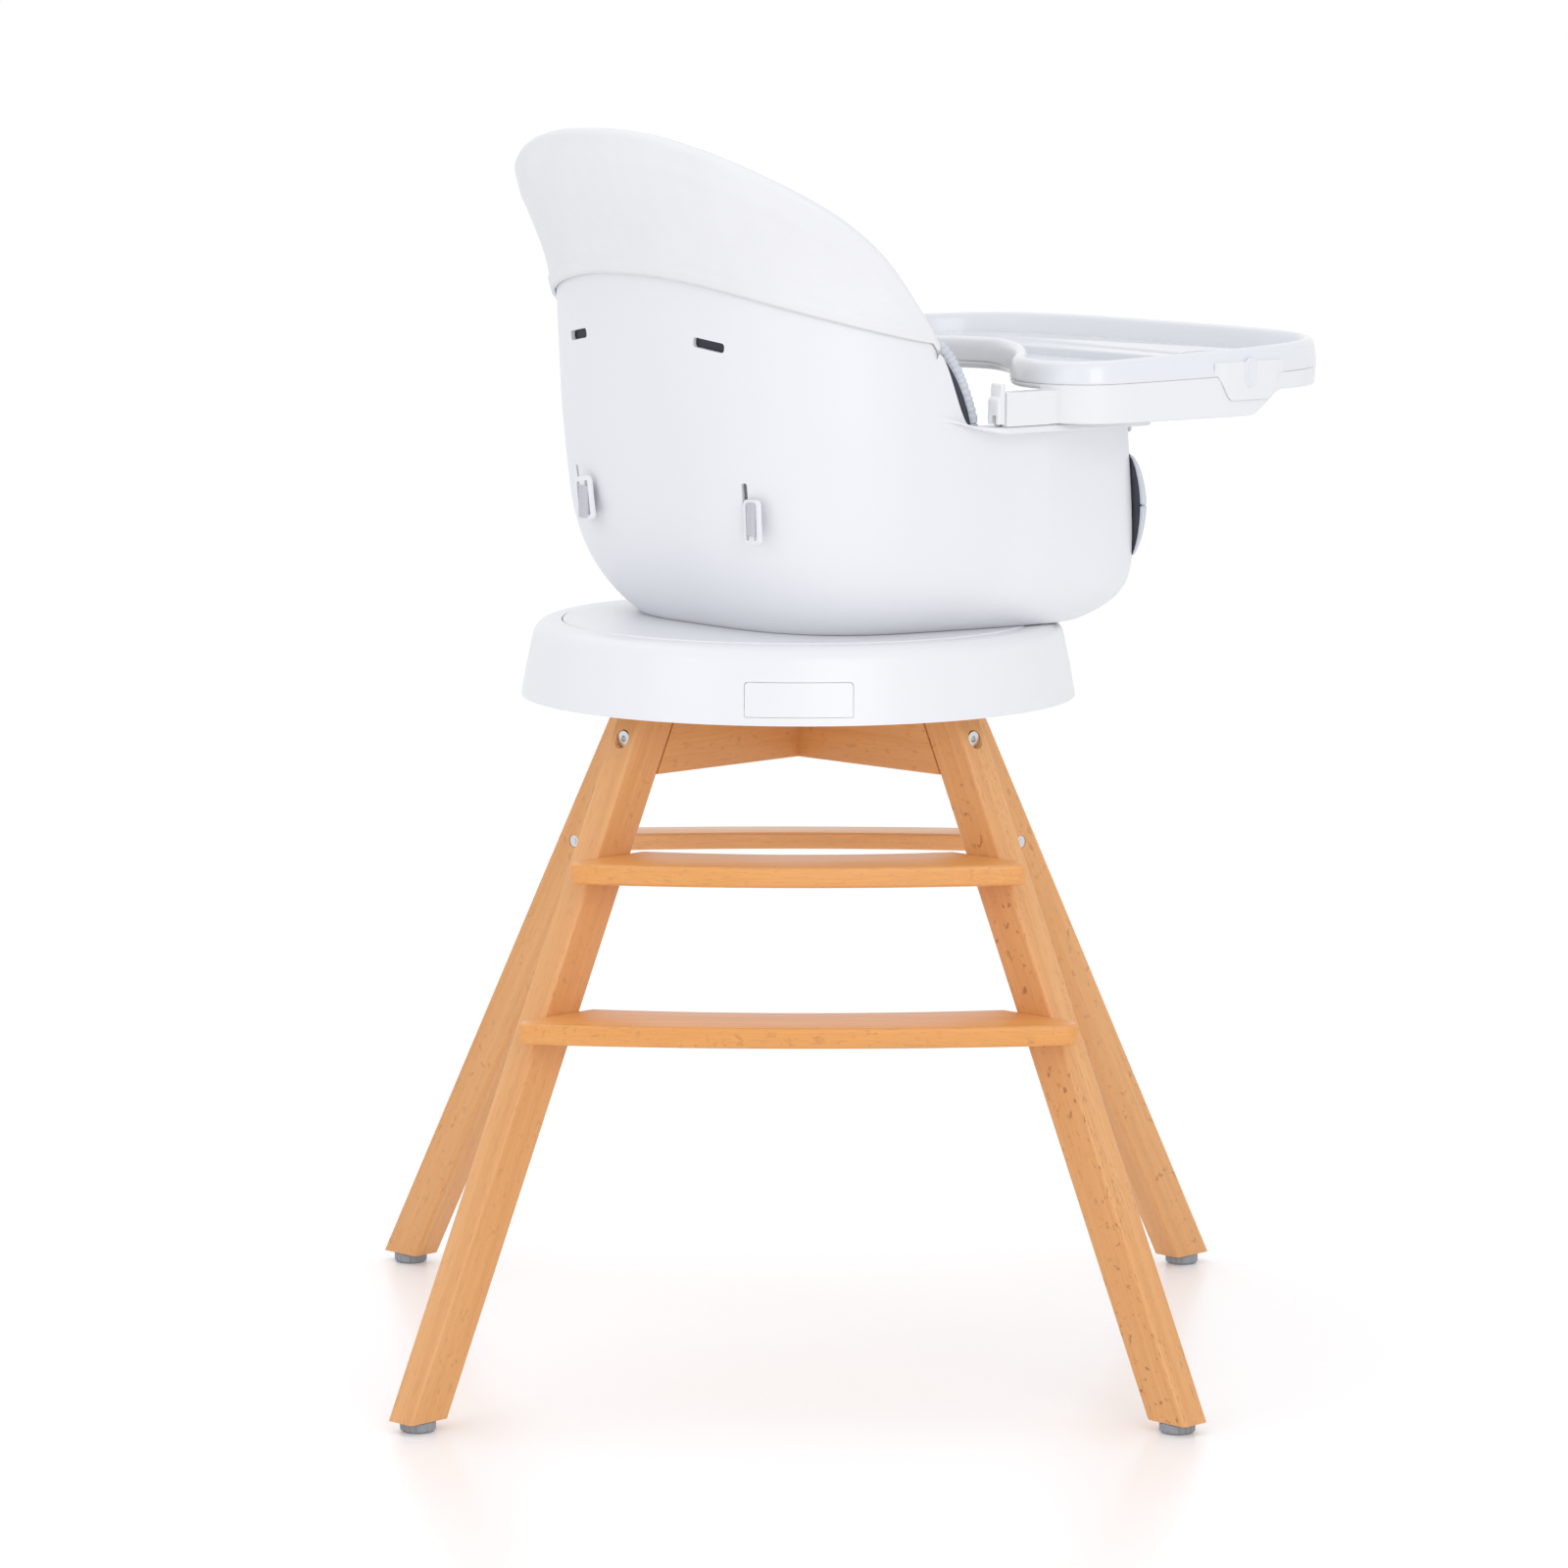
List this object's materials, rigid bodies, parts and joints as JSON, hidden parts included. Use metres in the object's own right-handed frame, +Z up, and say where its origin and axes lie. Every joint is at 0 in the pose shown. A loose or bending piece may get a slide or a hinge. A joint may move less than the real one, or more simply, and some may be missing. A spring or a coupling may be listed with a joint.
{
  "type": "high chair",
  "caption": "Swivel high chair with splayed beech legs, step boards, a white bucket seat with a leather liner hood, and a sliding tray with a lift-off insert.",
  "frame": {"origin": "on the floor under the swivel axis", "axes": "+Z up; -Y towards the side with the steps; the seat and tray face 38 degrees from +X towards +Y at rest"},
  "size_m": [0.7668, 0.699, 0.9825],
  "materials": {
    "beech": "clear satin lacquer on beech, with ray flecks",
    "zinc_steel": "bright zinc plate",
    "grey_plastic": "moulded grey, fine texture",
    "white_plastic": "cool white, satin",
    "tray_plastic": "white gloss, smooth moulded",
    "liner_leather": "soft white coated fabric with a fine grain",
    "webbing": "woven webbing"
  },
  "bodies": {
    "stand": {"leg_front_left": "beech", "leg_front_right": "beech", "leg_rear_left": "beech", "leg_rear_right": "beech", "cross_beam_a": "beech", "cross_beam_b": "beech", "upper_step": "beech", "lower_step": "beech", "rear_rail": "beech", "leg_bolts": "zinc_steel", "barrel_nuts": "zinc_steel", "step_screws": "zinc_steel", "foot_inserts": "zinc_steel", "housing_ring": "white_plastic", "base_plate": "white_plastic", "housing_screws": "zinc_steel", "glide_ring": "grey_plastic"},
    "foot_fl": {"foot_front_left": "grey_plastic"},
    "foot_fr": {"foot_front_right": "grey_plastic"},
    "foot_rl": {"foot_rear_left": "grey_plastic"},
    "foot_rr": {"foot_rear_right": "grey_plastic"},
    "lock": {"lock_panel": "white_plastic", "lock_bolt": "grey_plastic", "lock_spring": "zinc_steel"},
    "seat": {"turntable": "white_plastic", "pivot_washer": "zinc_steel", "pivot_screw": "zinc_steel", "seat_shell": "white_plastic", "shell_screws": "zinc_steel", "liner_pad": "liner_leather", "liner_hood": "liner_leather", "liner_apron": "liner_leather", "slide_buckles": "white_plastic", "waist_straps": "webbing", "crotch_strap": "webbing", "harness_buckle": "grey_plastic"},
    "buckle_button": {"harness_button": "grey_plastic"},
    "tray": {"tray_base": "tray_plastic", "tray_arm_left": "tray_plastic", "tray_arm_right": "tray_plastic"},
    "lever_left": {"release_lever_left": "tray_plastic"},
    "lever_right": {"release_lever_right": "tray_plastic"},
    "insert": {"tray_insert": "tray_plastic"}
  },
  "joints": [
    {"name": "foot_fl_turn", "type": "hinge", "parent": "stand", "child": "foot_fl", "pos_m": [-0.28895, -0.28895, 0], "axis": [0, 0, 1], "continuous": true},
    {"name": "foot_fr_turn", "type": "hinge", "parent": "stand", "child": "foot_fr", "pos_m": [0.28895, -0.28895, 0], "axis": [0, 0, 1], "continuous": true},
    {"name": "foot_rl_turn", "type": "hinge", "parent": "stand", "child": "foot_rl", "pos_m": [-0.33072, 0.33072, 0], "axis": [0, 0, 1], "continuous": true},
    {"name": "foot_rr_turn", "type": "hinge", "parent": "stand", "child": "foot_rr", "pos_m": [0.33072, 0.33072, 0], "axis": [0, 0, 1], "continuous": true},
    {"name": "swivel", "type": "hinge", "parent": "stand", "child": "seat", "pos_m": [0, 0, 0.58], "axis": [0, 0, 1], "continuous": true},
    {"name": "lock_press", "type": "slide", "parent": "stand", "child": "lock", "axis": [0, 1, 0], "range_m": [0, 0.006], "stiffness_N_per_m": 400, "deforming": ["lock_spring"]},
    {"name": "buckle_press", "type": "slide", "parent": "seat", "child": "buckle_button", "axis": [-0.788, -0.6157, 0], "range_m": [0, 0.0015], "stiffness_N_per_m": 300},
    {"name": "tray_slide", "type": "slide", "parent": "seat", "child": "tray", "axis": [0.788, 0.6157, 0], "range_m": [0, 0.04]},
    {"name": "lever_left_pull", "type": "slide", "parent": "tray", "child": "lever_left", "axis": [-0.788, -0.6157, 0], "range_m": [0, 0.004], "stiffness_N_per_m": 400},
    {"name": "lever_right_pull", "type": "slide", "parent": "tray", "child": "lever_right", "axis": [-0.788, -0.6157, 0], "range_m": [0, 0.004], "stiffness_N_per_m": 400},
    {"name": "insert_lift", "type": "slide", "parent": "tray", "child": "insert", "axis": [0, 0, 1], "range_m": [0, 0.05]}
  ]
}
